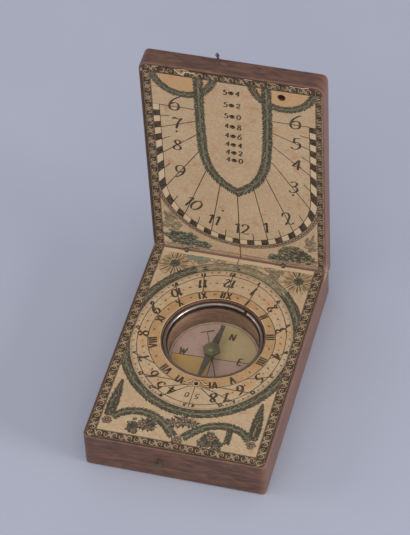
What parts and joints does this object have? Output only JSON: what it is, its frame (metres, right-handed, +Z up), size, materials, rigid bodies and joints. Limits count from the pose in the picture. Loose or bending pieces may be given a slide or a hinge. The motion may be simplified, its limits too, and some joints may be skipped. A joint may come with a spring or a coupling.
{
  "type": "diptych sundial",
  "caption": "Folding wooden pocket sundial of two hinged leaves with printed dials, and a compass under glass in the lower leaf.",
  "frame": {"origin": "middle of the flat underside of the lower leaf", "axes": "+Z up, +Y towards the fold and the upright lid, +X to the right as one faces the open dial"},
  "size_m": [0.06, 0.0946, 0.1006],
  "materials": {
    "wood": "dark stained fruitwood, worn",
    "dial_paper": "aged rag paper, printed and hand coloured",
    "card": "aged paper, hand coloured in quarters",
    "brass": "tarnished brass",
    "blued_steel": "old blued steel",
    "glass": "clear, thin old glass",
    "ring_wire": "dull tinned wire",
    "hinge_wire": "dark tarnished wire"
  },
  "bodies": {
    "base": {"base_block": "wood", "base_dial_paper": "dial_paper", "compass_card": "card", "compass_pivot": "brass", "compass_glass": "glass", "glass_ring": "ring_wire", "hinge_eye_left": "hinge_wire", "hinge_eye_right": "hinge_wire", "catch_peg": "brass"},
    "needle": {"compass_needle": "blued_steel", "needle_cap": "brass"},
    "lid": {"lid_block": "wood", "lid_dial_paper": "dial_paper", "hinge_staple_left": "hinge_wire", "hinge_staple_right": "hinge_wire", "catch_hook": "hinge_wire"},
    "link": {"catch_link": "hinge_wire"}
  },
  "joints": [
    {"name": "lid_hinge", "type": "hinge", "parent": "base", "child": "lid", "pos_m": [0, 0.0405, 0.014], "axis": [1, 0, 0], "range_deg": [-1.1, 88.9]},
    {"name": "needle_spin", "type": "hinge", "parent": "base", "child": "needle", "pos_m": [0, 0.0029, 0.0085], "axis": [0, 0, 1], "continuous": true},
    {"name": "link_swing", "type": "hinge", "parent": "lid", "child": "link", "pos_m": [-0.0061, 0.0468, 0.09999], "axis": [1, 0, 0], "range_deg": [0, 270]}
  ]
}
